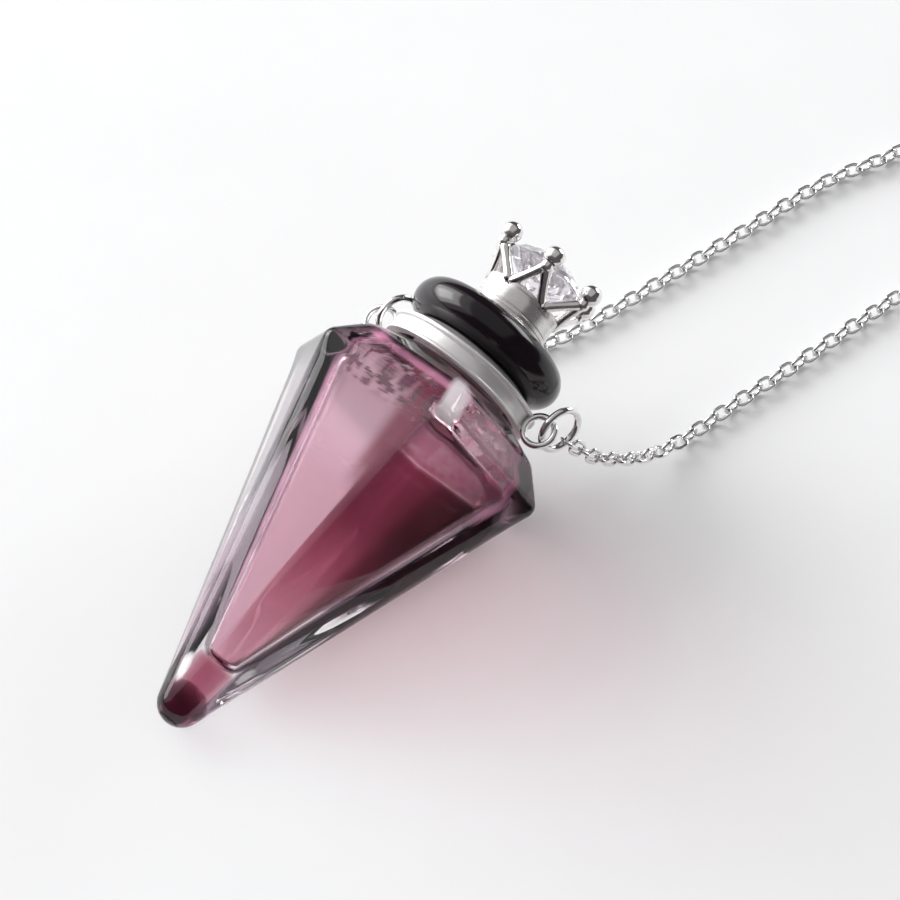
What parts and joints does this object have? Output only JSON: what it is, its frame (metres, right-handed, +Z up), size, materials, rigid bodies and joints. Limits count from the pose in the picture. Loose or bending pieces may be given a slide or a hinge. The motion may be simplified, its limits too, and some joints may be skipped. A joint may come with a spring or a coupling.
{
  "type": "bottle pendant necklace",
  "caption": "Six-sided pointed glass vial pendant with a silver collar, a dark bead stopper, a crown with a cut stone and a long link chain.",
  "frame": {"origin": "on the surface that the pendant lies on, under the centre of the bottle's girdle, on the facet that the bottle rests on", "axes": "+Z up from the surface; the pendant's tip points towards -Y and its crown towards +Y, with its axis 17 degrees above the surface; +X to the right seen from the tip's end over the pendant"},
  "size_m": [0.0774, 0.2358, 0.0212],
  "materials": {
    "rose_glass": "clear polished glass, rose inside",
    "silver": "polished silver",
    "plug": "smooth",
    "dark_bead": "opaque, polished",
    "clear_stone": "faceted, polished"
  },
  "bodies": {
    "bottle": {"bottle": "rose_glass", "collar": "silver", "jump_ring_right": "silver", "jump_ring_left": "silver", "chain_right": "silver", "chain_left": "silver", "clasp": "silver"},
    "stopper": {"plug": "plug", "disc_bead": "dark_bead", "crown_cap": "silver", "crown_stone": "clear_stone"}
  },
  "joints": [
    {"name": "stopper_slide", "type": "slide", "parent": "bottle", "child": "stopper", "axis": [0, 0.9555, 0.295], "range_m": [0, 0.012]}
  ]
}
